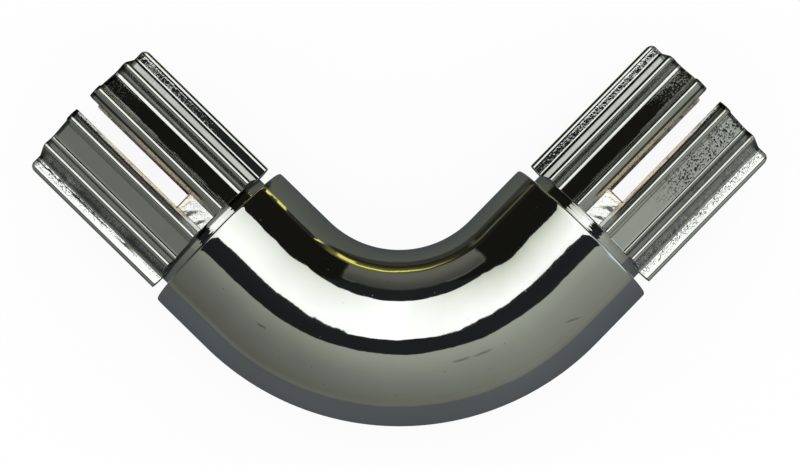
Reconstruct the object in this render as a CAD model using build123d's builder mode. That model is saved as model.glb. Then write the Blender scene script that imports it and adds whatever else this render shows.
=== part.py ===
from build123d import *
import os

os.makedirs("parts", exist_ok=True)

# Rail elbow connector, one hollow casting.
# Sizes are in millimetres. The elbow lies on its side on Z = 0.
# Arm A points along +X and arm B along +Y.

# Rail tube that the elbow joins
tube_diameter = 50.8
tube_wall = 1.27
rib_clearance = 0.33

# Bend body, flush with the tube
body_radius = tube_diameter / 2
bend_radius = 54.0
straight_length = 20.0
body_wall = 3.8
shoulder_edge_break = 0.5

# Neck between the shoulder and the ribs
neck_radius = 20.0
neck_length = 3.5

# Ribbed spigot, which enters the tube
spigot_length = 49.5
rib_circle_radius = body_radius - tube_wall - rib_clearance
spigot_bore_radius = 16.0
lead_in_radius = 1.8
ridge_overrun = 0.85
ridge_rounding = 1.1
valley_rounding = 0.7
valley_foot_rounding = 2.0
fin_rounding = 1.1

# Ridge directions, measured from the slot's direction
slot_ridge_angle = 15.2
outer_ridge_angle = 43.4

# Slot through both walls of the spigot, and the groove that carries on from it
slot_length = 40.0
slot_width = 5.2
groove_floor_width = 5.0
groove_floor_height = 20.5

# Valley between the two ridges, and the side fin
valley_start = (7.4, 17.85)
valley_end = (13.4, 14.0)
fin_root = (19.6, 2.3)
fin_half_thickness = 3.1

# Cavity
cavity_radius = body_radius - body_wall
cavity_straight = 12.0
cavity_taper = cavity_radius - spigot_bore_radius

# Places along each arm, from the corner where the two centre lines cross
shoulder = bend_radius + straight_length
rib_start = shoulder + neck_length
tip = rib_start + spigot_length
cavity_end = bend_radius + cavity_straight
past_tip = tip + lead_in_radius

# The box around the elbow is centred on the row's origin
corner = -(tip - body_radius) / 2

# Local Z runs along the arm, local X across it and local Y up
arm_a = Plane(origin=(corner, corner, body_radius), x_dir=(0, 1, 0), z_dir=(1, 0, 0))
arm_b = Plane(origin=(corner, corner, body_radius), x_dir=(-1, 0, 0), z_dir=(0, 1, 0))


def ridge_point(angle):
    """Sharp corner of a ridge, which its rounding brings back to the rib circle."""
    reach = Vector(0, rib_circle_radius + ridge_overrun).rotate(Axis.Z, -angle)
    return (reach.X, reach.Y)


# One quarter of the rib section, from the groove floor round to the side fin
quarter = [
    (groove_floor_width / 2, groove_floor_height),
    ridge_point(slot_ridge_angle),
    valley_start,
    valley_end,
    ridge_point(outer_ridge_angle),
    fin_root,
    (rib_circle_radius, fin_half_thickness),
]
right_half = quarter + [(x, -y) for x, y in reversed(quarter)]
rib_outline = right_half + [(-x, y) for x, y in reversed(right_half)]
ridge_corners = [quarter[1], quarter[4]]
valley_corners = [quarter[2], quarter[5]]
valley_feet = [quarter[3]]


def matching(vertices, corners):
    """Section vertices at the given corners or their mirror images."""
    return [
        v
        for v in vertices
        if any(
            abs(abs(v.X) - x) + abs(abs(v.Y) - y) < ridge_overrun / 10
            for x, y in corners
        )
    ]


# Rounded rib section, drawn once and placed on each arm
with BuildSketch() as rib_section:
    with BuildLine():
        Polyline(*rib_outline, close=True)
    make_face()
    fillet(matching(rib_section.vertices(), ridge_corners), ridge_rounding)
    fillet(matching(rib_section.vertices(), valley_corners), valley_rounding)
    fillet(matching(rib_section.vertices(), valley_feet), valley_foot_rounding)
    fillet(matching(rib_section.vertices(), [quarter[6]]), fin_rounding)

with BuildPart() as elbow:
    # Polished body: a round bar bent through a right angle
    with BuildLine(Plane.XY.offset(body_radius)) as centre_line:
        Polyline(
            (corner + shoulder, corner), (corner, corner), (corner, corner + shoulder)
        )
        fillet(centre_line.vertices(), bend_radius)
    with BuildSketch(arm_a.offset(shoulder)):
        Circle(body_radius)
    sweep(path=centre_line.line)
    chamfer(elbow.faces().filter_by(GeomType.PLANE).edges(), shoulder_edge_break)

    # Hollow of the bend
    with BuildLine(Plane.XY.offset(body_radius)) as cavity_line:
        Polyline(
            (corner + cavity_end, corner),
            (corner, corner),
            (corner, corner + cavity_end),
        )
        fillet(cavity_line.vertices(), bend_radius)
    with BuildSketch(arm_a.offset(cavity_end)):
        Circle(cavity_radius)
    sweep(path=cavity_line.line, mode=Mode.SUBTRACT)

    for arm in (arm_a, arm_b):
        # Neck, set back from the shoulder
        with BuildSketch(arm.offset(shoulder)):
            Circle(neck_radius)
        extrude(amount=neck_length)

        # Ribbed spigot
        with BuildSketch(arm.offset(rib_start)):
            add(rib_section.sketch)
        extrude(amount=spigot_length)

        # Rounded lead-in at the tips of the ribs
        side = Plane(origin=arm.origin, x_dir=arm.z_dir, z_dir=-arm.x_dir)
        with BuildSketch(side):
            with Locations((tip, rib_circle_radius - lead_in_radius)):
                Rectangle(
                    lead_in_radius,
                    lead_in_radius * 2,
                    align=(Align.MAX, Align.MIN),
                )
            with Locations((tip - lead_in_radius, rib_circle_radius - lead_in_radius)):
                Circle(lead_in_radius, mode=Mode.SUBTRACT)
        revolve(axis=Axis(arm.origin, arm.z_dir), mode=Mode.SUBTRACT)

        # Bore of the spigot, opening into the hollow of the bend by a taper
        with BuildSketch(side):
            with BuildLine():
                Polyline(
                    (bend_radius, 0),
                    (bend_radius, cavity_radius),
                    (cavity_end, cavity_radius),
                    (cavity_end + cavity_taper, spigot_bore_radius),
                    (past_tip, spigot_bore_radius),
                    (past_tip, 0),
                    close=True,
                )
            make_face()
        revolve(axis=Axis(arm.origin, arm.z_dir), mode=Mode.SUBTRACT)

        # Slot through both walls, open at the tip
        with BuildSketch(arm.offset(tip - slot_length)):
            Rectangle(slot_width, tube_diameter)
        extrude(amount=slot_length, mode=Mode.SUBTRACT)

elbow.part.label = "elbow"
export_step(elbow.part, "parts/elbow.step")
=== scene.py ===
"""Looks of the rail elbow connector: one hollow chrome casting, its light and its camera."""

import math

import bmesh
import bpy
from bpy.props import FloatProperty, FloatVectorProperty, IntProperty, PointerProperty
from bpy.types import Operator, Panel, PropertyGroup
from mathutils import Matrix, Vector


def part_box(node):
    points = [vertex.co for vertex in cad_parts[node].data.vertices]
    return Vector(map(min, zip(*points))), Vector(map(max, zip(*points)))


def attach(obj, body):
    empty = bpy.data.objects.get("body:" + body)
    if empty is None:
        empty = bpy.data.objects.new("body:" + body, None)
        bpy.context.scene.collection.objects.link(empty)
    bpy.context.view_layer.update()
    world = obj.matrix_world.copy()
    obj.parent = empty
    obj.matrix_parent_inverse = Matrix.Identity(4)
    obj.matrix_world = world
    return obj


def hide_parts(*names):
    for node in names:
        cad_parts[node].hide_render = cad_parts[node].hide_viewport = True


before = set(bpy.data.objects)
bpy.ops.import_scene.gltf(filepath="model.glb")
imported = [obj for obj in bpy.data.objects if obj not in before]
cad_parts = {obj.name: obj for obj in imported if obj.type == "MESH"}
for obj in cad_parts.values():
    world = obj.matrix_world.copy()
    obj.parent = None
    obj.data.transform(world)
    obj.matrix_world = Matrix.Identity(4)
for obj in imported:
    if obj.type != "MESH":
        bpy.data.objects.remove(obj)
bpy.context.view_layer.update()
LOW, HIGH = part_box("elbow")

bl_info = {
    "name": "Rail elbow connector",
    "version": (1, 0, 0),
    "blender": (4, 5, 0),
    "location": "3D View > Sidebar > Elbow",
    "description": "Chrome plated rail tube elbow, with a ribbed and slotted spigot at each end",
    "category": "Add Mesh",
}

MM = 0.001

# Places taken from the frame: the casting lies on the floor, with its arms along +X and +Y
CENTRE_HEIGHT = (HIGH.z - LOW.z) / 2
CORNER = LOW.x + CENTRE_HEIGHT
REACH = HIGH.x - CORNER
BEND_RADIUS = 54 * MM
NECK_LENGTH = 3.5 * MM
SPIGOT_LENGTH = 49.5 * MM
SLOT_LENGTH = 40 * MM

# One quarter of the rib section in millimetres, as (across, up, rounding)
SLOT_EDGE = (2.6, 20.59, 0.0)
QUARTER = [
    (6.463, 23.788, 1.1),
    (7.40, 17.85, 0.7),
    (13.40, 14.00, 2.0),
    (16.937, 17.910, 1.1),
    (19.60, 2.50, 0.7),
    (23.80, 3.00, 1.1),
]
GROOVE_FLOOR = [(x, 20.5) for x in (-2.5, -1.25, 0.0, 1.25, 2.5)]

# Divisions of the casting's small parts
ARC_STEP = math.radians(8)
BORE_STEPS = 44
HOLLOW_AROUND = 128
ROOT_STEPS = 9
WALL_STEPS = 4
TIP_STEPS = 8
TIP_EDGE_STEPS = 6
SHARP_ANGLE = math.radians(35)

# Short rows that hold the shading straight beside an edge, in millimetres
SUPPORT = 0.1

# The picture's up and right directions, seen from above
PICTURE_UP = Vector((1, 1, 0)).normalized()
PICTURE_RIGHT = Vector((1, -1, 0)).normalized()
DIAGONAL = math.sqrt(0.5)
DEGREES = 180 / math.pi

# Outline of the softbox over the table, in shares of its height, to the picture's right and up
SOFTBOX = (
    *((-0.56, 1.03), (0.69, 1.03), (0.69, 0.0), (0.052, 0.0)),
    *((0.04, -0.10), (-0.055, -0.10), (-0.055, 0.022), (-0.56, 0.022)),
)

# Stage sizes in metres, and the camera fitted to the photograph
FLOOR_HALF = 6
TABLE_LIFT = 0.0001
DOME_RADIUS = 5.0
DOME_DIVISIONS = 4
FILM_WIDTH = 36.0
CAMERA_REACH = 50.0
CAMERA_PLACE = (-0.07552, -0.08337, 1.5264)
CAMERA_TURN = (
    (0.699209, 0.713726, -0.041248),
    (-0.714904, 0.697674, -0.046511),
    (-0.004419, 0.06201, 0.998066),
)


def a_length(description, default):
    """A length property in metres, shown in the scene's own unit."""
    return FloatProperty(
        description=description, default=default, min=0.0, unit="LENGTH", precision=5
    )


def a_colour(description, default):
    """A linear colour property."""
    return FloatVectorProperty(
        description=description, default=default, size=3, min=0.0, max=1.0, subtype="COLOR"
    )


def a_share(description, default):
    """A number property from nothing to all."""
    return FloatProperty(
        description=description, default=default, min=0.0, max=1.0, subtype="FACTOR"
    )


class ElbowSizes(PropertyGroup):
    """Sizes of the casting."""

    body_diameter: a_length("Outside diameter of the bend", HIGH.z - LOW.z)
    bend_radius: a_length("Radius of the bend's centre line", BEND_RADIUS)
    end_rounding: a_length("Rounding of the bend's end edges", 0.6 * MM)
    end_fall: a_length("How far polishing has drawn in the bend's ends", 0.05 * MM)
    end_run: a_length("Length of the ends that polishing has drawn in", 2.0 * MM)
    neck_diameter: a_length("Neck between the bend and the ribs", 40 * MM)
    neck_length: a_length("From the bend's end to the ribs", NECK_LENGTH)
    root_length: a_length("Length in which the ribs rise from the neck", 0.3 * MM)
    spigot_length: a_length("Length of the ribs", SPIGOT_LENGTH)
    rib_circle: a_length("Radius of the circle round the ribs", 23.8 * MM)
    lead_in: a_length("Rounding of the ribs' tips", 1.8 * MM)
    tip_rounding: a_length("Rounding of the tips' edges", 0.45 * MM)
    bore_radius: a_length("Radius of the bore in each spigot", 16 * MM)
    slot_length: a_length("From the tip to the slot's end", SLOT_LENGTH)
    cavity_radius: a_length("Radius of the hollow in the bend", 21.6 * MM)
    cavity_straight: a_length("Hollow's straight run at each end", 12 * MM)
    around: IntProperty(description="Divisions round the bend", default=288, min=32)
    bends: IntProperty(description="Divisions along the bend", default=108, min=16)


class ElbowFinish(PropertyGroup):
    """Colours and surface of the plating."""

    chrome: a_colour("Plating where it is thickest", (0.715, 0.725, 0.715))
    # Painted sheen: a paler colour that brightens the outer fins and the outer valley
    outer_sheen: a_colour("Plating on the spigots' outer faces", (0.92, 0.95, 0.94))
    chrome_dull: a_colour("Plating where it is a little dull", (0.64, 0.66, 0.635))
    thin_plate: a_colour("Plating inside slot and bore", (0.50, 0.47, 0.42))
    stain: a_colour("Warm tint of thin plating beside the slot", (0.80, 0.68, 0.48))
    worn_end: a_colour("Pale warm tint at the slot's end", (0.97, 0.87, 0.74))
    # Painted shade: a dark colour laid over the ribs' feet and flanks, where the recesses look
    # dark
    recess_shade: a_colour("Dull plating in the recesses", (0.13, 0.135, 0.125))
    # Dark of pits that hold dirt, and also of the painted shade lines on the neck, beside the slot
    # and near the tips
    dark: a_colour("Pits and lines that hold dirt", (0.035, 0.03, 0.025))
    rubbed: a_colour("Specks and rubbed marks on the bend", (0.12, 0.12, 0.11))
    polish_waves: a_length("Height of the waves left by polishing", 0.016 * MM)
    cast_waves: a_length("Height of the as-cast ripple", 0.075 * MM)
    polished_roughness: a_share("Roughness of the bend", 0.035)
    cast_roughness: a_share("Roughness of the spigots", 0.05)


class ElbowStage(PropertyGroup):
    """Floor, light and camera."""

    floor_colour: a_colour("Colour of the floor", (0.95, 0.95, 0.95))
    floor_shadow: a_share("Share of the floor that takes light and shadow", 0.08)
    table_colour: a_colour("Grey card that the chrome reflects", (0.19, 0.192, 0.165))
    lamp_level: FloatProperty(description="Level of the softbox", default=1.45, min=0.0)
    lamp_height: a_length("Height of the softbox above the floor", 3.0)
    world_level: a_share("Level of the light from all round", 1.0)
    lens: FloatProperty(description="Focal length", default=234.8, min=1.0, unit="CAMERA")


# -------- nodes


def maths_method(operation, swapped=False):
    """A method of Value that adds one Math node."""

    def method(value, other):
        pair = (other, value) if swapped else (value, other)
        return value.shader.maths(operation, *pair)

    return method


class Value:
    """A number in a material. The usual operators on it add Math nodes."""

    __add__ = maths_method("ADD")
    __radd__ = maths_method("ADD", swapped=True)
    __sub__ = maths_method("SUBTRACT")
    __rsub__ = maths_method("SUBTRACT", swapped=True)
    __mul__ = maths_method("MULTIPLY")
    __rmul__ = maths_method("MULTIPLY", swapped=True)
    __truediv__ = maths_method("DIVIDE")
    least = maths_method("MINIMUM")
    most = maths_method("MAXIMUM")

    def __init__(self, shader, socket):
        self.shader = shader
        self.socket = socket

    def __abs__(self):
        return self.shader.maths("ABSOLUTE", self)

    def held(self):
        """Kept between 0 and 1."""
        return self.shader.maths("ADD", self, 0.0, clamp=True)

    def rise(self, low, high):
        """0 below low, 1 above high, smooth between them. High may be the lower one."""
        sockets = {"Value": self, "From Min": low, "From Max": high}
        return self.shader.value("MapRange", "Result", sockets, interpolation_type="SMOOTHSTEP")

    def within(self, low, high, soft):
        """1 between low and high, with soft edges."""
        return self.rise(low - soft, low + soft) * self.rise(high + soft, high - soft)


class Nodes:
    """A node tree, and the one method that adds nodes to it. A prefix completes their types."""

    prefix = ""

    def __init__(self, tree):
        self.tree = tree

    def node(self, kind, sockets=None, **settings):
        """One node: its settings are set first, then the values or links of its sockets."""
        node = self.tree.nodes.new(kind if "Node" in kind else self.prefix + kind)
        for name, setting in settings.items():
            if name == "stops":
                self._set_stops(node.color_ramp.elements, setting)
            else:
                setattr(node, name, setting)
        for name, value in (sockets or {}).items():
            self._put(node.inputs[name], value)
        return node

    def out(self, kind, output, sockets=None, **settings):
        """The output of that name of a new node."""
        node = self.node(kind, sockets, **settings)
        return next(socket for socket in node.outputs if socket.enabled and socket.name == output)

    def _set_stops(self, elements, stops):
        while len(elements) > 1:
            elements.remove(elements[-1])
        elements[0].position, elements[0].color = stops[0][0], (*stops[0][1], 1.0)
        for place, stop_colour in stops[1:]:
            elements.new(place).color = (*stop_colour, 1.0)

    def _put(self, socket, value):
        """Links a value or a socket, or sets a plain number or colour."""
        if isinstance(value, Value):
            value = value.socket
        if isinstance(value, bpy.types.NodeSocket):
            self.tree.links.new(value, socket)
        elif socket.type == "RGBA" and len(value) == 3:
            socket.default_value = (*value, 1.0)
        else:
            socket.default_value = value


class Shader(Nodes):
    """The nodes of one material or world."""

    prefix = "ShaderNode"

    def __init__(self, owner):
        owner.use_nodes = True
        super().__init__(owner.node_tree)
        self.tree.nodes.clear()

    def value(self, *details, **settings):
        """The output of a new node, as a number to work with."""
        return Value(self, self.out(*details, **settings))

    def maths(self, operation, *values, clamp=False):
        sockets = dict(enumerate(values))
        return self.value("Math", "Value", sockets, operation=operation, use_clamp=clamp)

    def coats(self, colour, *coats):
        """A colour under coats, each a share and a colour. Sockets 6 and 7 are colours A and B."""
        for part, tint in coats:
            sockets = {0: part, 6: colour, 7: tint}
            colour = self.out("Mix", "Result", sockets, data_type="RGBA")
        return colour

    def brighter(self, tint, level):
        """Colour times a number."""
        sockets = {0: tint, "Scale": level}
        return self.out("VectorMath", "Vector", sockets, operation="SCALE")

    def object_place(self):
        return self.out("TexCoord", "Object")

    def parts(self, vector):
        """The vector's x, y and z."""
        node = self.node("SeparateXYZ", {"Vector": vector})
        return [Value(self, node.outputs[axis]) for axis in "XYZ"]

    def joined(self, x, y, z):
        """A vector from x, y and z."""
        return self.out("CombineXYZ", "Vector", {"X": x, "Y": y, "Z": z})

    def reach(self, x, y):
        """Distance of a place in plan from 0, 0."""
        return self.maths("SQRT", x * x + y * y)

    def in_picture(self, x, y):
        """A place in plan as the picture's up and right, and its bearing in degrees from up."""
        ahead = (x + y) * DIAGONAL
        aside = (x - y) * DIAGONAL
        return ahead, aside, self.maths("ARCTAN2", aside, ahead) * DEGREES

    def noise(self, place, scale, detail, distortion=0.0):
        sockets = {"Vector": place, "Scale": scale, "Detail": detail, "Distortion": distortion}
        return self.value("TexNoise", "Fac", {**sockets, "Roughness": 0.5})

    def specks(self, place, scale):
        """Distance to the nearest of many scattered points, in cells."""
        sockets = {"Vector": place, "Scale": scale}
        return self.value("TexVoronoi", "Distance", sockets)

    def bumps(self, heights, scale, normal=None):
        """Normal of bumps one over another, each a height and how many times the scale."""
        for height, times in heights:
            sockets = {"Height": height, "Distance": scale * times, "Strength": 1.0}
            if normal:
                sockets["Normal"] = normal
            normal = self.out("Bump", "Normal", sockets)
        return normal

    def metal(self, tint, roughness, normal, metallic=1.0):
        """Ends a material as metal."""
        sockets = {"Base Color": tint, "Metallic": metallic, "Roughness": roughness}
        sockets["Normal"] = normal
        self.surface(self.out("BsdfPrincipled", "BSDF", sockets))

    def diffuse(self, tint):
        return self.out("BsdfDiffuse", "BSDF", {"Color": tint})

    def glow(self, tint):
        sockets = {"Color": tint, "Strength": 1.0}
        return self.out("Emission", "Emission", sockets)

    def between(self, part, first, second):
        """Surface between first and second."""
        return self.out("MixShader", "Shader", {0: part, 1: first, 2: second})

    def surface(self, socket):
        """Ends a material."""
        self.node("OutputMaterial", {"Surface": socket})


def new_shader(name):
    """A new material and its nodes."""
    material = bpy.data.materials.new(name)
    return material, Shader(material)


# -------- plating

# Places along an arm, in millimetres from the corner
SHOULDER = (REACH - SPIGOT_LENGTH - NECK_LENGTH) / MM
SLOT_END = (REACH - SLOT_LENGTH) / MM

# Rubbed marks on the bend in plan, in millimetres from the corner: start, end and width
CLEAR_MARK = ((-9.6, 46.9), (-9.1, 43.3), 0.42)
FAINT_MARKS = [
    ((20.3, -0.4), (26.4, -3.6), 0.5),
    ((25.0, -3.2), (32.6, -6.6), 0.5),
    ((51.0, -15.3), (56.6, -18.2), 0.45),
]

# Zones of a spigot, in millimetres from its slot's middle: low, high and softness
FINS = (19.9, 22.0, 0.35)
FIN_STREAKS = (20.1, 21.0, 0.3)
FLANKS = (17.0, 19.4, 0.2)
FEET = (13.15, 15.7, 0.2)
# Zone of the painted sheen on the outer valley
SHEEN_VALLEY = (6.6, 12.6, 0.3)
ROUGH_VALLEY = (7.6, 12.4, 0.3)
BLACK_VALLEY = (7.6, 12.0, 0.4)
VALLEY_EDGE = (7.4, 8.05, 0.12)
# Painted shade lines on the slopes beside the slot
OUTER_SHADE_LINE = (4.3, 5.25, 0.15)
SHADE_LINE = (3.55, 4.2, 0.12)


def arm_places(shader, x, y, z):
    """Along the arm, across it and up from its centre line, in millimetres.

    Across is positive towards the inside of the bend. The last value is 1 on arm A, which
    points along +X, and 0 on arm B.
    """
    on_arm_a = (x - y).rise(-MM, MM)
    x = (x - CORNER) / MM
    y = (y - CORNER) / MM
    return x.most(y), x.least(y), (z - CENTRE_HEIGHT) / MM, on_arm_a


def stroke(shader, x, y, start, end, width):
    """Thin rubbed mark between two points in plan, fading at its ends."""
    run = (end[0] - start[0], end[1] - start[1])
    square = run[0] ** 2 + run[1] ** 2
    part = ((x - start[0]) * (run[0] / square) + (y - start[1]) * (run[1] / square)).held()
    away = shader.reach(x - start[0] - part * run[0], y - start[1] - part * run[1])
    fade = part.rise(0.0, 0.35) * part.rise(1.0, 0.6)
    return away.rise(width, width * 0.2) * fade


def polished_chrome(finish):
    """Mirror polish with faint waves, small specks and a few rubbed marks."""
    material, shader = new_shader("polished_chrome")
    place = shader.object_place()
    x, y, z = shader.parts(place)
    along, across, up, on_arm_a = arm_places(shader, x, y, z)
    patches = shader.noise(place, 28.0, 3.0)
    broad = shader.noise(place, 95.0, 1.0)
    waves = shader.noise(place, 260.0, 1.5)
    peel = shader.noise(place, 650.0, 1.0)
    grit = shader.specks(place, 210.0).rise(0.05, 0.025)

    wobble = waves * 1.2
    plan_x = (x - CORNER) / MM + wobble
    plan_y = (y - CORNER) / MM - wobble
    marks = stroke(shader, plan_x, plan_y, *CLEAR_MARK)
    for mark in FAINT_MARKS:
        marks = marks.most(stroke(shader, plan_x, plan_y, *mark) * 0.8)
    marks = marks * z.rise(CENTRE_HEIGHT, CENTRE_HEIGHT + 2 * MM)

    # The neck was turned on a lathe, which left rings, and two dark lines of painted shade lie on
    # it
    neck = along.rise(SHOULDER, SHOULDER + 0.2)
    rings = shader.joined(along * MM, across * (0.02 * MM), up * (0.02 * MM))
    turned = shader.noise(rings, 900.0, 1.0)
    # Painted shade at the ribs' root, weak on arm A; the other line is painted shade at the bend's
    # end
    end_shade_line = along.rise(SHOULDER + 2.0, SHOULDER + 2.5) * (1 - on_arm_a * 0.75)
    lines = neck * (along.rise(SHOULDER + 0.6, SHOULDER + 0.2) + end_shade_line).held()

    colour = shader.coats(
        finish.chrome,
        (patches.rise(0.35, 0.7), finish.chrome_dull),
        ((grit * 0.6).most(marks * 0.6), finish.rubbed),
        # Painted shade of the neck's two lines, lighter on arm A
        (lines * (0.85 - on_arm_a * 0.25), finish.dark),
    )
    roughness = finish.polished_roughness + patches.rise(0.3, 0.8) * 0.02
    roughness = roughness + grit * 0.3 + marks * 0.2
    bumps = [(broad, 6.0), (waves, 1.0), (peel, 0.06)]
    normal = shader.bumps(bumps, finish.polish_waves)
    normal = shader.bumps([(turned * neck, 1.5)], finish.cast_waves, normal)
    shader.metal(colour, roughness, normal)
    return material


def cast_chrome(finish):
    """Plating over the as-cast surface of the spigots, with painted shade in the recesses and a
    painted sheen on the outer fins and valley.
    """
    material, shader = new_shader("cast_chrome")
    place = shader.object_place()
    along, across, up, on_arm_a = arm_places(shader, *shader.parts(place))
    side = abs(across)
    outer = across.rise(0.5, -0.5)
    inner = 1 - outer

    # Patterns
    patches = shader.noise(place, 160.0, 3.0)
    broad = shader.noise(place, 300.0, 2.0)
    fine = shader.noise(place, 2300.0, 2.0)
    speckle = shader.noise(place, 1600.0, 2.5)
    drawn_out = shader.joined(along * (0.1 * MM), across * MM, up * MM)
    streaks = shader.noise(drawn_out, 1500.0, 2.0)
    slanting = shader.joined((along + across * 0.5) * MM, across * (0.22 * MM), up * MM)
    smears = shader.noise(slanting, 950.0, 2.0)
    tracks = 1 - abs(shader.noise(place, 1000.0, 1.5, distortion=0.8) * 2 - 1)

    # Zones across the arm and along it
    fins = side.within(*FINS)
    feet = side.within(*FEET)
    flanks = side.within(*FLANKS)
    valley_edge = side.within(*VALLEY_EDGE) * inner * streaks.rise(0.4, 0.54)
    valley_edge = valley_edge * (0.6 + along.rise(92.0, 118.0) * 0.4)
    slopes = side.rise(5.3, 5.0) * side.rise(2.4, 2.6)
    floors = side.rise(2.6, 2.4) * along.rise(SLOT_END + 1.5, SLOT_END + 0.5)
    lively = (along.rise(80.0, 120.0) * 0.8 + on_arm_a * 0.5 + 0.15).held()
    tips = along.rise(112.0, 125.0) * patches.rise(0.35, 0.6)
    rough_valley = side.within(*ROUGH_VALLEY) * outer * on_arm_a * along.rise(90.0, 106.0)
    black_valley = side.within(*BLACK_VALLEY) * inner * along.rise(108.0, 126.0)
    black_valley = black_valley * (0.3 + on_arm_a * 0.7)
    beside_slot = slopes * along.rise(81.0, 85.0)
    warm = beside_slot * side.rise(3.9, 3.4) * along.rise(124.0, 100.0)
    slot_end = side.rise(3.2, 2.8) * along.within(SLOT_END - 1.4, SLOT_END + 0.3, 0.2)
    # Painted shade: dark lines along the slopes beside the slot, and one at the slot's end
    shade_lines = (side.within(*SHADE_LINE) + outer * side.within(*OUTER_SHADE_LINE) * 0.7).held()
    end_shade_line = slot_end * along.within(SLOT_END - 0.4, SLOT_END, 0.15)
    shade_lines = beside_slot * shade_lines + end_shade_line

    # Surface
    depth = fins * lively * (0.5 + outer * 0.55) + floors * 0.25 + tips * 0.15
    pits = rough_valley * 0.6 + black_valley * 1.5 + tips * 0.3 + valley_edge * 0.5
    grain = feet * 0.7 + flanks * 0.03 + slopes * 0.1 + 0.03
    bumps = [
        (tracks * depth.held(), 1.0),
        (speckle * pits, 1.2),
        (fine * grain.held(), 0.45),
        (broad, 0.25),
        (streaks * (slopes * 0.3 + 0.08).held(), 0.7),
        (smears * floors, 1.0),
    ]
    normal = shader.bumps(bumps, finish.cast_waves)

    # Colour, from plain plating to painted sheen, painted shade in the recesses, stains, dark
    # specks of dirt and painted shade lines
    # Painted sheen on the outer side: on the fins, and on the valley more on arm A
    bright = fins * outer * 0.8 + side.within(*SHEEN_VALLEY) * outer * (0.4 + on_arm_a * 0.4)
    # Painted shade in the recesses: the feet darken more on the outer side, the flanks more on the
    # inner side
    recess_shade = feet * (0.75 + outer * 0.2) + flanks * (0.97 - outer * (0.3 + on_arm_a * 0.1))
    fin_streaks = side.within(*FIN_STREAKS) * outer * (1 - on_arm_a) * along.rise(84.0, 92.0)
    specks = rough_valley * speckle.rise(0.5, 0.6)
    specks = specks + fins * outer * lively * speckle.rise(0.57, 0.63)
    # The dark specks take in the painted shade lines as well as dirt
    specks = specks + warm * speckle.rise(0.55, 0.68) * 0.6 + shade_lines * 0.9
    floor_specks = floors * (1 - slot_end) * smears.rise(0.53, 0.63) * across.rise(2.0, -1.0)
    specks = specks + floor_specks * 0.9
    specks = specks + fin_streaks * streaks.rise(0.44, 0.52)
    # Painted shade: a dark band in patches near the tips
    specks = specks + along.rise(125.4, 126.2) * broad.rise(0.35, 0.5) * 0.85
    colour = shader.coats(
        finish.chrome,
        (patches.rise(0.35, 0.7), finish.chrome_dull),
        (bright.held(), finish.outer_sheen),
        (recess_shade.held(), finish.recess_shade),
        ((warm * streaks.rise(0.2, 0.5)).held(), finish.stain),
        (slot_end, finish.worn_end),
        (specks.held(), finish.dark),
    )

    roughness = finish.cast_roughness + patches * 0.04 + feet * 0.2 + valley_edge * 0.4
    roughness = roughness + rough_valley * 0.06 + black_valley * speckle.rise(0.52, 0.6) * 0.6
    roughness = roughness + flanks * outer * 0.25 + slopes * outer * side.rise(3.4, 4.2) * 0.3
    shader.metal(colour, roughness + slot_end * 0.2, normal, 1 - warm * 0.35)
    return material


def thin_chrome(finish):
    """Thin, duller plating on the slot's walls and in the hollow."""
    material, shader = new_shader("thin_chrome")
    place = shader.object_place()
    along, _, up, _ = arm_places(shader, *shader.parts(place))
    patches = shader.noise(place, 120.0, 4.0)
    ripple = shader.noise(place, 700.0, 3.0)
    edge = abs(up).rise(15.0, 16.5) * along.rise(SLOT_END + 0.2, SLOT_END + 0.6)
    colour = shader.coats(
        finish.thin_plate,
        (patches.rise(0.4, 0.65), finish.chrome_dull),
        (edge, finish.stain),
        (ripple.rise(0.5, 0.66) * (0.7 - edge * 0.3), finish.dark),
    )
    normal = shader.bumps([(ripple, 1.0)], finish.cast_waves)
    shader.metal(colour, 0.18 + patches * 0.15 + edge * 0.3, normal, 1 - edge * 0.5)
    return material


# -------- node trees for shapes


# Parts of a spigot with a plating of their own, and the attribute that marks their faces
PLATED_PARTS = {"Outside": None, "Neck": "neck", "Inside": "inside"}


class ShapeTree(Nodes):
    """A Geometry Nodes tree with named inputs, given as (name, socket type, default)."""

    prefix = "GeometryNode"

    def __init__(self, name, inputs):
        super().__init__(bpy.data.node_groups.new(name, "GeometryNodeTree"))
        for label, kind, default in [("Geometry", "NodeSocketGeometry", None), *inputs]:
            socket = self.tree.interface.new_socket(name=label, in_out="INPUT", socket_type=kind)
            if default is not None:
                socket.default_value = default
        self.tree.interface.new_socket(
            name="Geometry", in_out="OUTPUT", socket_type="NodeSocketGeometry"
        )
        self.given = self.tree.nodes.new("NodeGroupInput").outputs

    def plated(self, geometry, plating, attribute=None):
        """The geometry with a material, on all faces or on those that an attribute marks."""
        sockets = {"Geometry": geometry, "Material": self.given[plating]}
        if attribute:
            sockets["Selection"] = self.marked("BOOLEAN", attribute)
        return self.out("SetMaterial", "Geometry", sockets)

    def marked(self, kind, name):
        """A named attribute."""
        return self.out("InputNamedAttribute", "Attribute", {"Name": name}, data_type=kind)

    def ended(self, geometry):
        """The finished tree."""
        self.node("NodeGroupOutput", {"Geometry": geometry})
        return self.tree


def skin_tree():
    """A round skin along the line of the base mesh. Each point's radius is an attribute."""
    shape = ShapeTree(
        "skin_along_line",
        [("Divisions around", "NodeSocketInt", 64), ("Plating", "NodeSocketMaterial", None)],
    )
    line = shape.out("MeshToCurve", "Curve", {"Mesh": shape.given["Geometry"]})
    upright = shape.out("SetCurveNormal", "Curve", {"Curve": line}, mode="Z_UP")
    sockets = {"Resolution": shape.given["Divisions around"], "Radius": 1.0}
    ring = shape.out("CurvePrimitiveCircle", "Curve", sockets, mode="RADIUS")
    radius = shape.marked("FLOAT", "skin_radius")
    sockets = {"Curve": upright, "Profile Curve": ring, "Scale": radius}
    skin = shape.out("CurveToMesh", "Mesh", sockets)
    real = shape.out("RealizeInstances", "Geometry", {"Geometry": skin})
    return shape.ended(shape.plated(real, "Plating"))


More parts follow.
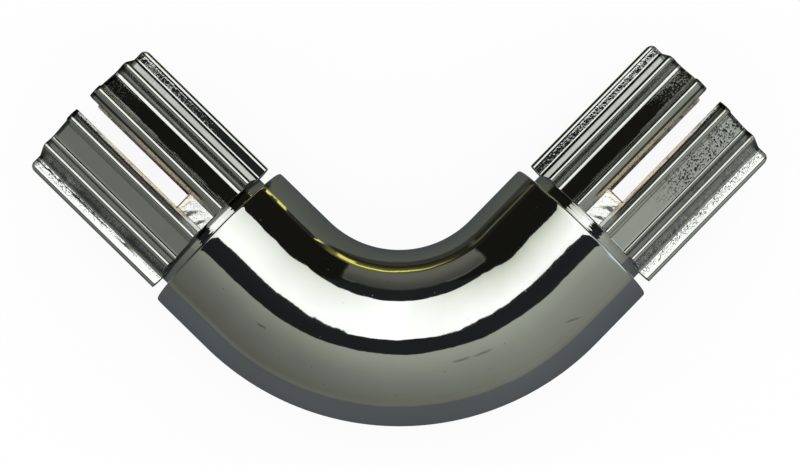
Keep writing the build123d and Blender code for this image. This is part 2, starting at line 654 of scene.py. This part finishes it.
def pair_tree():
    """The base mesh once on each arm, turned a quarter turn about the corner."""
    shape = ShapeTree(
        "spigot_on_each_arm",
        [
            ("Arms", "NodeSocketInt", 2),
            ("Turn between arms", "NodeSocketFloat", math.pi / 2),
            ("Corner", "NodeSocketVector", None),
            *((f"{part} plating", "NodeSocketMaterial", None) for part in PLATED_PARTS),
        ],
    )
    given = shape.given
    sockets = {"Count": given["Arms"], "Start Location": given["Corner"], "Offset": (0, 0, 0)}
    spots = shape.out("MeshLine", "Mesh", sockets, mode="OFFSET")
    sockets = {0: shape.out("InputIndex", "Index"), 1: given["Turn between arms"]}
    turn = shape.out("ShaderNodeMath", "Value", sockets, operation="MULTIPLY")
    angles = shape.out("ShaderNodeCombineXYZ", "Vector", {"Z": turn})
    rotation = shape.out("FunctionNodeEulerToRotation", "Rotation", {"Euler": angles})
    sockets = {"Points": spots, "Instance": given["Geometry"], "Rotation": rotation}
    copies = shape.out("InstanceOnPoints", "Instances", sockets)
    last = shape.out("RealizeInstances", "Geometry", {"Geometry": copies})
    for part, attribute in PLATED_PARTS.items():
        last = shape.plated(last, f"{part} plating", attribute)
    return shape.ended(last)


def through_tree(mesh, tree, inputs):
    """The mesh that a tree makes from a base mesh."""
    base = bpy.data.objects.new(mesh.name, mesh)
    bpy.context.scene.collection.objects.link(base)
    modifier = base.modifiers.new("shape", "NODES")
    modifier.node_group = tree
    identifiers = {
        item.name: item.identifier for item in tree.interface.items_tree if item.in_out == "INPUT"
    }
    for name, value in inputs.items():
        modifier[identifiers[name]] = value
    graph = bpy.context.evaluated_depsgraph_get()
    result = bpy.data.meshes.new_from_object(
        base.evaluated_get(graph), preserve_all_data_layers=True, depsgraph=graph
    )
    bpy.data.objects.remove(base)
    if not result.polygons:
        raise RuntimeError(f"the tree {tree.name} made no faces")
    return result


def skin_mesh(name, stations, tree, around, plating):
    """Round skin through stations, each a point on the centre line and a radius."""
    mesh = bpy.data.meshes.new(name)
    links = [(i, i + 1) for i in range(len(stations) - 1)]
    mesh.from_pydata([point for point, _ in stations], links, [])
    radii = mesh.attributes.new("skin_radius", "FLOAT", "POINT")
    radii.data.foreach_set("value", [radius for _, radius in stations])
    return through_tree(mesh, tree, {"Divisions around": around, "Plating": plating})


def centre_line(sizes, end_stations):
    """Stations from one end of the bend to the other. End stations are (along, radius)."""
    near = [
        (Vector((CORNER + along, CORNER, CENTRE_HEIGHT)), radius)
        for along, radius in end_stations
    ]
    far = [(point.yxz, radius) for point, radius in reversed(near)]
    centre = CORNER + sizes.bend_radius
    last_radius = end_stations[-1][1]
    bend = []
    for step in range(1, sizes.bends):
        angle = math.pi / 2 * step / sizes.bends
        x = centre - sizes.bend_radius * math.sin(angle)
        y = centre - sizes.bend_radius * math.cos(angle)
        bend.append((Vector((x, y, CENTRE_HEIGHT)), last_radius))
    return near + bend + far


# -------- spigot

# Where the spigot's mesh meets the bend's, in millimetres: over the neck's radius on the
# shoulder's face, and past the shoulder in the bore
FACE_SEAM = 0.5
BORE_SEAM = 1.0
SEAM_REACH = 0.008

# Least turn from one point of a ring to the next where the section folds back
LEAST_TURN = math.radians(0.04)

# Share that is kept of what a point overruns, so that neighbours stay apart
OVERRUN_KEPT = 0.03

# Least share of an inset's depth along a corner's bisector, which limits sharp corners
LEAST_MITRE = 0.5


def rounded_line(corners):
    """A section line through corners (across, up, rounding), with arcs at the rounded ones."""
    points = [Vector(corners[0][:2])]
    for before, here, after in zip(corners, corners[1:], corners[2:]):
        corner = Vector(here[:2])
        back = (Vector(before[:2]) - corner).normalized()
        ahead = (Vector(after[:2]) - corner).normalized()
        rounding = here[2]
        half = back.angle(ahead) / 2
        reach = rounding / math.tan(half)
        middle = corner + (back + ahead).normalized() * rounding / math.sin(half)
        start = corner + back * reach - middle
        turn = start.y * back.x - start.x * back.y
        sweep = math.copysign(math.pi - 2 * half, turn)
        steps = max(4, math.ceil(abs(sweep) / ARC_STEP))
        points.append(corner + back * (reach + SUPPORT))
        for step in range(steps + 1):
            angle = sweep * step / steps
            sine, cosine = math.sin(angle), math.cos(angle)
            spot = (start.x * cosine - start.y * sine, start.x * sine + start.y * cosine)
            points.append(middle + Vector(spot))
        points.append(corner + ahead * (reach + SUPPORT))
    points.append(Vector(corners[-1][:2]))
    return points


def circle(radius, count):
    """Points of a section, evenly round a circle."""
    turns = (2 * math.pi * i / count for i in range(count))
    return [Vector((math.cos(a), math.sin(a))) * radius for a in turns]


def mirrored(loop):
    """The other half of a section, in the same direction."""
    return [Vector((-p.x, p.y)) for p in reversed(loop)]


def polar(point):
    """A point's angle, from nothing to a full turn."""
    return math.atan2(point.y, point.x) % (2 * math.pi)


def stitched(angles_a, angles_b):
    """Triangles between two rings, by their points' angles. Ring b's indices follow ring a's."""
    count_a, count_b = len(angles_a), len(angles_b)
    rings = []
    for first, angles in ((0, angles_a), (count_a, angles_b)):
        order = sorted(range(len(angles)), key=angles.__getitem__)
        turns = [angles[i] for i in order] + [angles[order[0]] + 2 * math.pi]
        rings += [[first + i for i in order + order[:1]], turns]
    ring_a, turns_a, ring_b, turns_b = rings
    i = j = 0
    triangles = []
    while i < count_a or j < count_b:
        if j >= count_b or (i < count_a and turns_a[i + 1] <= turns_b[j + 1]):
            triangles.append((ring_a[i], ring_a[i + 1], ring_b[j]))
            i += 1
        else:
            triangles.append((ring_a[i], ring_b[j + 1], ring_b[j]))
            j += 1
    return triangles


def round_loop(loop, radius):
    """Points of a clockwise loop moved to a circle, and kept in order where it folds back."""
    points = []
    angle = None
    for point in loop:
        turn = math.atan2(point.x, point.y)
        if angle is None:
            angle = turn
        else:
            step = (turn - angle + math.pi) % (2 * math.pi) - math.pi
            angle += max(step, LEAST_TURN)
        points.append(Vector((math.sin(angle), math.cos(angle))) * radius)
    return points


def kept_within(point, radius):
    """A point drawn back to a circle."""
    over = point.length - radius
    return point.normalized() * (radius + OVERRUN_KEPT * over) if over > 0 else point


def inset(loop, depth):
    """A closed section loop moved into the metal by depth. The loop runs clockwise."""
    moved = []
    for before, here, after in zip(loop[-1:] + loop[:-1], loop, loop[1:] + loop[:1]):
        back = (here - before).normalized()
        ahead = (after - here).normalized()
        inward = Vector((back.y, -back.x)) + Vector((ahead.y, -ahead.x))
        if inward.length < 1e-6:
            moved.append(here.copy())
            continue
        inward.normalize()
        mitre = max(LEAST_MITRE, inward.dot(Vector((back.y, -back.x))))
        moved.append(here + inward * (depth / mitre))
    return moved


class Section:
    """The ribs' outline and the bore inside it, as clockwise loops of the same four parts."""

    def __init__(self, bore):
        half = [SLOT_EDGE, *QUARTER, *((x, -y, r) for x, y, r in reversed(QUARTER))]
        self.right = rounded_line([*half, (SLOT_EDGE[0], -SLOT_EDGE[1], 0.0)])
        self.left = mirrored(self.right)
        self.floor_top = [Vector(p) for p in GROOVE_FLOOR]
        self.floor_bottom = [Vector((-x, -y)) for x, y in GROOVE_FLOOR]
        self.outline = self.right + self.floor_bottom + self.left + self.floor_top

        start = math.asin(SLOT_EDGE[0] / bore)
        turns = (start + (math.pi - 2 * start) * i / BORE_STEPS for i in range(BORE_STEPS + 1))
        self.bore_right = [Vector((bore * math.sin(a), bore * math.cos(a))) for a in turns]
        self.bore_left = mirrored(self.bore_right)
        self.bore_top, self.bore_bottom = (
            [Vector((p.x, side * math.sqrt(bore**2 - p.x**2))) for p in floor]
            for side, floor in ((1, self.floor_top), (-1, self.floor_bottom))
        )
        self.bore_loop = self.bore_right + self.bore_bottom + self.bore_left + self.bore_top


class Builder:
    """Vertices and faces of the spigot, in metres from the corner along, across and up."""

    def __init__(self):
        self.vertices = []
        self.faces = []
        self.marks = {"inside": [], "neck": []}

    def ring(self, along, points):
        """Adds points of a section, in millimetres, and returns their indices."""
        first = len(self.vertices)
        self.vertices += [(along * MM, p.x * MM, p.y * MM) for p in points]
        return list(range(first, len(self.vertices)))

    def face(self, indices, inside=False, neck=False):
        """Adds a face, and what its plating goes by."""
        self.faces.append(indices)
        self.marks["inside"].append(inside)
        self.marks["neck"].append(neck)

    def strip(self, first, second, closed=True, inside=False, neck=False):
        """Quads between two rows of indices. Inside may be one value or one for each quad."""
        count = len(first) if closed else len(first) - 1
        for i in range(count):
            k = (i + 1) % len(first)
            hidden = inside[i] if isinstance(inside, list) else inside
            self.face((first[i], first[k], second[k], second[i]), hidden, neck)

    def run(self, last, places, loop, **marks):
        """Rows of one loop at places along the arm, each joined to the last row."""
        for along in places:
            row = self.ring(along, loop)
            self.strip(last, row, **marks)
            last = row
        return last

    def stitch(self, along, loop, other_along, other_loop, **marks):
        """Two rings of different counts joined by triangles. Returns the first ring."""
        first = self.ring(along, loop)
        both = first + self.ring(other_along, other_loop)
        for triangle in stitched([polar(p) for p in loop], [polar(p) for p in other_loop]):
            self.face([both[i] for i in triangle], **marks)
        return first

    def mesh(self, name):
        mesh = bpy.data.meshes.new(name)
        mesh.from_pydata(self.vertices, [], self.faces)
        for label, marks in self.marks.items():
            layer = mesh.attributes.new(label, "BOOLEAN", "FACE")
            layer.data.foreach_set("value", marks)
        return mesh


def add_slot_ends(build, section, slot_end):
    """The slot's end wall, above and below."""
    outer_edge = SLOT_EDGE[1]
    inner_edge = section.bore_right[0].y
    for side, floor, bore in (
        (1, section.floor_top, section.bore_top),
        (-1, section.floor_bottom, section.bore_bottom),
    ):
        across = SLOT_EDGE[0] * side
        rim, base = (
            [Vector((-across, up * side)), *row, Vector((across, up * side))]
            for up, row in ((outer_edge, floor), (inner_edge, bore))
        )
        before = build.ring(slot_end, rim)
        for row in range(1, WALL_STEPS + 1):
            level = [a.lerp(b, row / WALL_STEPS) for a, b in zip(rim, base)]
            after = build.ring(slot_end, level)
            build.strip(before, after, closed=False, inside=True)
            before = after


def add_halves(build, section, sizes, slot_end, tip):
    """The two halves of the spigot beside the slot, up to the tip."""
    lead = sizes.lead_in / MM
    soft = sizes.tip_rounding / MM
    rib_circle = sizes.rib_circle / MM
    places = {slot_end, slot_end + SUPPORT, tip - lead - SUPPORT, tip - soft - SUPPORT / 5, tip}
    for rounding, steps in ((lead, TIP_STEPS), (soft, TIP_EDGE_STEPS)):
        for i in range(steps):
            places.add(tip - rounding + rounding * math.sin(math.pi / 2 * i / steps))
    for outer, inner in (
        (section.right, section.bore_right),
        (section.left, section.bore_left),
    ):
        shares = [i / WALL_STEPS for i in range(1, WALL_STEPS)]
        wall_down = [outer[-1].lerp(inner[-1], part) for part in shares]
        wall_up = [inner[0].lerp(outer[0], part) for part in shares]
        loop = outer + wall_down + inner[::-1] + wall_up
        hidden = [False] * (len(outer) - 1) + [True] * (len(loop) - len(outer) + 1)
        last = None
        for along in sorted(places):
            ring = loop
            if along > tip - soft:
                edge = ((along - tip + soft) / soft) ** 2
                ring = inset(loop, soft * (1 - math.sqrt(max(0.0, 1 - edge))))
            if along > tip - lead:
                fall = math.sqrt(max(0.0, lead**2 - (along - tip + lead) ** 2))
                ring = [kept_within(p, rib_circle - lead + fall) for p in ring]
            row = build.ring(along, ring)
            if last:
                build.strip(last, row, inside=hidden)
            last = row
        build.face(last)


def spigot_mesh(sizes):
    """One spigot with its neck, from the bend's end to the tip, open where it meets the bend."""
    bore = sizes.bore_radius / MM
    neck = sizes.neck_diameter / 2 / MM
    tip = REACH / MM
    rib_start = tip - sizes.spigot_length / MM
    shoulder = rib_start - sizes.neck_length / MM
    slot_end = tip - sizes.slot_length / MM
    root = sizes.root_length / MM
    section = Section(bore)
    build = Builder()

    # Shoulder face and neck
    neck_loop = round_loop(section.outline, neck)
    face_ring = circle(neck + FACE_SEAM, sizes.around)
    last = build.stitch(shoulder, neck_loop, shoulder, face_ring, neck=True)
    places = (shoulder + SUPPORT, rib_start - root - SUPPORT, rib_start - root)
    last = build.run(last, places, neck_loop, neck=True)

    # Ribs rise and valleys fall from the neck
    for step in range(1, ROOT_STEPS + 1):
        angle = math.pi / 2 * step / ROOT_STEPS
        loop = [a.lerp(b, math.sin(angle)) for a, b in zip(neck_loop, section.outline)]
        last = build.run(last, [rib_start - root + root * (1 - math.cos(angle))], loop)
    build.run(last, (rib_start + SUPPORT, slot_end - SUPPORT, slot_end), section.outline)

    # Bore up to the slot, and its stitching to the hollow's ring
    hollow_ring = circle(bore, HOLLOW_AROUND)
    bore_start = build.stitch(
        rib_start, section.bore_loop, shoulder + BORE_SEAM, hollow_ring, inside=True
    )
    build.run(bore_start, [slot_end], section.bore_loop, inside=True)

    add_slot_ends(build, section, slot_end)
    add_halves(build, section, sizes, slot_end, tip)
    return build.mesh("spigot")


# -------- casting

# The shoulder's face leans back and stops short of its rounding a little, in metres
FACE_LEAN = 0.02 * MM
FACE_EDGE = 0.05 * MM

# Rows along the end's rounding, the run that polishing has drawn in, and the straight
ROUNDING_ROWS = 6
RUN_ROWS = 7
STRAIGHT_ROWS = 5


def bend_stations(sizes):
    """The bend's outside from its end face inwards, as (along, radius)."""
    radius = sizes.body_diameter / 2
    shoulder = REACH - sizes.spigot_length - sizes.neck_length
    soft = sizes.end_rounding
    end = radius - sizes.end_fall
    stations = [
        (shoulder, sizes.neck_diameter / 2 + FACE_SEAM * MM),
        (shoulder - FACE_LEAN, end - soft + FACE_EDGE),
    ]
    for step in range(1, ROUNDING_ROWS + 1):
        angle = math.pi / 2 * (1 - (step + 0.5) / (ROUNDING_ROWS + 0.5))
        along = shoulder - soft + soft * math.sin(angle)
        stations.append((along, end - soft + soft * math.cos(angle)))
    for step in range(1, RUN_ROWS + 1):
        along = soft + (sizes.end_run - soft) * step / RUN_ROWS
        fall = sizes.end_fall * (1 - (along - soft) / (sizes.end_run - soft)) ** 2
        stations.append((shoulder - along, radius - fall))
    run = shoulder - sizes.end_run - sizes.bend_radius
    for i in reversed(range(STRAIGHT_ROWS)):
        stations.append((sizes.bend_radius + run * i / STRAIGHT_ROWS, radius))
    return stations


def hollow_stations(sizes):
    """The hollow from the spigot's bore inwards, as (along, radius)."""
    bore = sizes.bore_radius
    cavity = sizes.cavity_radius
    tangent = sizes.bend_radius
    shoulder = REACH - sizes.spigot_length - sizes.neck_length
    cavity_end = tangent + sizes.cavity_straight
    return [
        (shoulder + BORE_SEAM * MM, bore),
        (cavity_end + cavity - bore, bore),
        (cavity_end, cavity),
        (tangent + 0.5 * sizes.cavity_straight, cavity),
        (tangent, cavity),
    ]


def joined_casting(parts, name):
    """One closed object from several meshes, with outward faces and crisp edges."""
    whole = bmesh.new()
    materials = []
    for mesh in parts:
        places = []
        for material in mesh.materials:
            if material not in materials:
                materials.append(material)
            places.append(materials.index(material))
        for face in mesh.polygons:
            face.material_index = places[face.material_index]
        whole.from_mesh(mesh)
    seams = [vertex for vertex in whole.verts if vertex.is_boundary]
    bmesh.ops.remove_doubles(whole, verts=seams, dist=SEAM_REACH * MM)
    many_sided = [face for face in whole.faces if len(face.verts) > 4]
    bmesh.ops.triangulate(whole, faces=many_sided, ngon_method="BEAUTY")
    bmesh.ops.recalc_face_normals(whole, faces=whole.faces[:])
    mesh = bpy.data.meshes.new(name)
    whole.to_mesh(mesh)
    whole.free()
    for material in materials:
        mesh.materials.append(material)
    mesh.shade_smooth()
    mesh.set_sharp_from_angle(angle=SHARP_ANGLE)
    casting = bpy.data.objects.new(name, mesh)
    bpy.context.scene.collection.objects.link(casting)
    return casting


class ELBOW_OT_casting(Operator):
    """Bend, necks, ribbed spigots and hollow, as one closed casting"""

    bl_idname = "elbow.casting"
    bl_label = "Elbow casting"

    def execute(self, context):
        sizes = context.scene.elbow_sizes
        finish = context.scene.elbow_finish
        polished = polished_chrome(finish)
        cast = cast_chrome(finish)
        thin = thin_chrome(finish)
        skin = skin_tree()
        outside = centre_line(sizes, bend_stations(sizes))
        inside = centre_line(sizes, hollow_stations(sizes))
        bend = skin_mesh("bend", outside, skin, sizes.around, polished)
        hollow = skin_mesh("hollow", inside, skin, HOLLOW_AROUND, thin)
        spigots = through_tree(
            spigot_mesh(sizes),
            pair_tree(),
            {
                "Arms": 2,
                "Turn between arms": math.pi / 2,
                "Corner": (CORNER, CORNER, CENTRE_HEIGHT),
                "Outside plating": cast,
                "Neck plating": polished,
                "Inside plating": thin,
            },
        )
        casting = joined_casting([bend, spigots, hollow], "elbow_casting")
        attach(casting, "root")
        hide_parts("elbow")
        return {"FINISHED"}


# -------- stage

WHITE = (1.0, 1.0, 1.0)

# Grey of the room round the table, by degrees from the zenith
DOME_GREYS = [
    (0, (0.42, 0.44, 0.39)),
    (30, (0.374, 0.397, 0.335)),
    (50, (0.278, 0.292, 0.25)),
    (66, (0.236, 0.243, 0.215)),
    (90, (0.194, 0.20, 0.163)),
]

# How much brighter the picture's right side is lit than the middle
SIDE_LIGHT = 0.42


def staged(name, vertices, faces, material, only_reflected):
    """A plain mesh that isn't part of the object."""
    mesh = bpy.data.meshes.new(name)
    mesh.from_pydata(vertices, [], faces)
    mesh.materials.append(material)
    thing = bpy.data.objects.new(name, mesh)
    bpy.context.scene.collection.objects.link(thing)
    if only_reflected:
        for rays in ("camera", "diffuse", "transmission", "shadow"):
            setattr(thing, f"visible_{rays}", False)
    return thing


def background_share(shader):
    """1 for what the camera, metal and glass see, 0 for light that falls on the scene."""
    rays = shader.node("LightPath").outputs
    seen = Value(shader, rays["Is Camera Ray"]).most(Value(shader, rays["Is Glossy Ray"]))
    return seen.most(Value(shader, rays["Is Transmission Ray"]))


def floor_material(stage):
    """Pale floor that shows white and keeps the object's shadow."""
    material, shader = new_shader("floor_white")
    seen = background_share(shader)
    diffuse = shader.diffuse(stage.floor_colour)
    glow = shader.glow(shader.brighter(WHITE, seen))
    shader.surface(shader.between(1.0 - stage.floor_shadow * seen, diffuse, glow))
    return material


def table_material(stage):
    """Grey table top that only reflections see, with painted shade near the bend, a dark patch of
    painted shade, olive parts and gold parts that glow.

    Its places count from the arc centre of the bend: how far from it in metres, and the
    bearing in degrees from the picture's up, positive to the right.
    """
    material, shader = new_shader("table_grey")
    x, y, _ = shader.parts(shader.object_place())
    x = x - (CORNER + BEND_RADIUS)
    y = y - (CORNER + BEND_RADIUS)
    away, aside, bearing = shader.in_picture(x, y)
    far = shader.reach(away, aside)
    outside = shader.reach(x.least(0.0), y.least(0.0)) - BEND_RADIUS
    upper = abs(bearing).rise(80.0, 70.0)
    middle = abs(bearing).rise(36.0, 30.0)
    to_left = bearing.rise(-30.0, -36.0)
    plain = bearing.rise(34.0, 37.0).most(y.rise(0.034, 0.026))
    # Painted shade: a dark patch on the table just beyond the bend, in the picture's upper part
    dark = far.within(0.052, 0.105, 0.012) * upper * (1 - plain)
    beyond = far.rise(0.09, 0.12) * upper * middle * (1 - plain)
    beyond = beyond.most(far.within(0.09, 0.2, 0.02) * upper * to_left)
    beyond = beyond.most(far.rise(0.28, 0.32) * upper)
    olive = far.rise(0.13, 0.3) * middle * bearing.rise(-36.0, 10.0)
    olive_line = far.within(0.19, 0.3, 0.02) * upper * to_left * x.rise(0.012, 0.032)
    # Painted shade: near the bend the table keeps a darker grey, out to about 0.19 m from its
    # centre line
    colour = shader.coats(
        (0.118, 0.126, 0.136),
        (upper, (0.123, 0.131, 0.115)),
        (outside.rise(0.165, 0.215), stage.table_colour),
        (dark * 0.75, (0.02, 0.02, 0.012)),
        (beyond, (0.02, 0.02, 0.015)),
        (olive * 0.8, (0.16, 0.155, 0.045)),
        (olive_line, (0.124, 0.108, 0.044)),
    )

    # Painted glow: the gold parts glow, standing for a lit yellow thing far along the table
    broad = bearing.within(19.0, 27.5, 1.5) * far.within(0.235, 0.72, 0.035)
    line = bearing.within(-24.0, 26.0, 6.0) * bearing.rise(-30.0, 5.0)
    line = line * far.within(0.4, 0.68, 0.03)
    end = (y - x * 0.069).within(0.0145, 0.026, 0.0015) * x.rise(0.2, 0.3)
    gold = (broad.most(line).most(end) * far.rise(0.74, 0.7)).held()
    lit = 1 + aside / far.most(0.02) * far.rise(0.05, 0.6) * SIDE_LIGHT
    diffuse = shader.diffuse(shader.brighter(colour, lit))
    shader.surface(shader.between(gold, diffuse, shader.glow((1.1, 1.02, 0.24))))
    return material


def surroundings_material():
    """What stands round the table, as the chrome reflects it: black flags and grey cards."""
    material, shader = new_shader("surroundings")
    material.cycles.emission_sampling = "NONE"
    place = shader.object_place()
    place = shader.out("VectorMath", "Vector", {0: place}, operation="NORMALIZE")
    x, y, z = shader.parts(place)
    ahead, aside, bearing = shader.in_picture(x, y)
    tilt = shader.maths("ARCCOSINE", z) * DEGREES
    stops = [(degrees / 180, grey) for degrees, grey in DOME_GREYS]
    grey = shader.out("ValToRGB", "Color", {"Fac": tilt / 180}, stops=stops)

    # Camera and the person behind it, just below the zenith
    flat_aside = abs(aside / z.most(0.05))
    flat_down = 0 - ahead / z.most(0.05)
    edge = shader.noise(place, 7.0, 1.0) * 0.06 - 0.03
    shape = 0.47 - flat_aside * 0.33 - flat_down + edge
    figure = shape.rise(-0.008, 0.008) * flat_aside.rise(0.62, 0.55) * z.rise(0.0, 0.1)

    upper = abs(bearing).rise(100.0, 80.0)
    card = bearing.within(-33.0, 21.0, 1.0) * tilt.within(63.0, 92.0, 2.0)
    black = (upper * (1 - card)).held().most(figure)
    beside = bearing.within(58.0, 120.0, 6.0) * tilt.within(48.0, 88.0, 4.0)
    card_colour = shader.coats((0.072, 0.072, 0.06), (tilt.rise(64.0, 86.0), (0.15, 0.152, 0.128)))
    colour = shader.coats(
        grey,
        (black, shader.coats((0.010, 0.0095, 0.007), (figure, (0.0165, 0.0185, 0.0195)))),
        (card * upper, card_colour),
        (beside, (0.72, 0.84, 0.95)),
    )
    lit = 1 + aside * ahead.rise(0.1, -0.3) * SIDE_LIGHT
    shader.surface(shader.glow(shader.brighter(colour, lit)))
    return material


def softbox_material(level, height):
    """White cloth of the softbox, a little dimmer towards its sides."""
    material, shader = new_shader("softbox_cloth")
    x, y, _ = shader.parts(shader.object_place())
    aside = (x - y) * (DIAGONAL / height)
    left = (0 - aside).most(0.0)
    right = aside.most(0.0)
    dimmed = 1.0 - left * 0.9 - right * 0.45
    tint = (left * 1.6 + right * 0.8).held()
    colour = shader.coats((1.0, 1.0, 0.985), (tint, (0.97, 1.0, 0.85)))
    shader.surface(shader.glow(shader.brighter(colour, dimmed * level)))
    return material


def inward_globe():
    """Vertices and faces of a globe that face inwards."""
    globe = bmesh.new()
    bmesh.ops.create_icosphere(globe, subdivisions=DOME_DIVISIONS, radius=DOME_RADIUS)
    globe.verts.index_update()
    vertices = [vertex.co.copy() for vertex in globe.verts]
    faces = [[vertex.index for vertex in face.verts][::-1] for face in globe.faces]
    globe.free()
    return vertices, faces


class ELBOW_OT_stage(Operator):
    """Floor, softbox, cards that the chrome reflects, world and camera"""

    bl_idname = "elbow.stage"
    bl_label = "Stage"

    def execute(self, context):
        scene = context.scene
        stage = scene.elbow_stage

        sides = ((-1, -1), (1, -1), (1, 1), (-1, 1))
        corners = [Vector((x * FLOOR_HALF, y * FLOOR_HALF, 0)) for x, y in sides]
        staged("floor", corners, [(0, 1, 2, 3)], floor_material(stage), False)
        table = [corner + Vector((0, 0, TABLE_LIFT)) for corner in corners]
        staged("table_card", table, [(0, 1, 2, 3)], table_material(stage), True)

        height = stage.lamp_height
        cloth = [
            PICTURE_RIGHT * height * aside + PICTURE_UP * height * ahead + Vector((0, 0, height))
            for aside, ahead in SOFTBOX
        ]
        white = softbox_material(stage.lamp_level, height)
        box = staged("softbox", cloth, [range(len(cloth))], white, False)
        box.visible_camera = False
        staged("surroundings", *inward_globe(), surroundings_material(), True)

        world = scene.world or bpy.data.worlds.new("studio")
        scene.world = world
        shader = Shader(world)
        level = stage.world_level + background_share(shader) * (1.0 - stage.world_level)
        sockets = {"Color": shader.brighter(WHITE, level), "Strength": 1.0}
        light = shader.out("Background", "Background", sockets)
        shader.node("OutputWorld", {"Surface": light})
        scene.view_settings.view_transform = "Standard"

        camera = bpy.data.objects.new("camera", bpy.data.cameras.new("camera"))
        scene.collection.objects.link(camera)
        camera.data.lens = stage.lens
        camera.data.sensor_width = FILM_WIDTH
        camera.data.clip_end = CAMERA_REACH
        turn = Matrix(CAMERA_TURN).to_4x4()
        camera.matrix_world = Matrix.Translation(CAMERA_PLACE) @ turn
        scene.camera = camera
        return {"FINISHED"}


# -------- add-on


class ELBOW_PT_panel(Panel):
    """Elbow tools in the sidebar"""

    bl_label = "Rail elbow"
    bl_idname = "ELBOW_PT_panel"
    bl_space_type = "VIEW_3D"
    bl_region_type = "UI"
    bl_category = "Elbow"

    def draw(self, context):
        layout = self.layout
        for tool in (ELBOW_OT_casting, ELBOW_OT_stage):
            layout.operator(tool.bl_idname)
        for group in GROUPS:
            values = getattr(context.scene, group)
            box = layout.box()
            for name in values.bl_rna.properties.keys():
                if name not in ("rna_type", "name"):
                    box.prop(values, name, text=name.replace("_", " ").capitalize())


GROUPS = {"elbow_sizes": ElbowSizes, "elbow_finish": ElbowFinish, "elbow_stage": ElbowStage}
CLASSES = (*GROUPS.values(), ELBOW_OT_casting, ELBOW_OT_stage, ELBOW_PT_panel)


def register():
    for cls in CLASSES:
        bpy.utils.register_class(cls)
    for name, group in GROUPS.items():
        setattr(bpy.types.Scene, name, PointerProperty(type=group))


def unregister():
    for name in GROUPS:
        delattr(bpy.types.Scene, name)
    for cls in reversed(CLASSES):
        bpy.utils.unregister_class(cls)


def main():
    register()
    bpy.ops.elbow.casting()
    bpy.ops.elbow.stage()


if __name__ == "__main__":
    main()
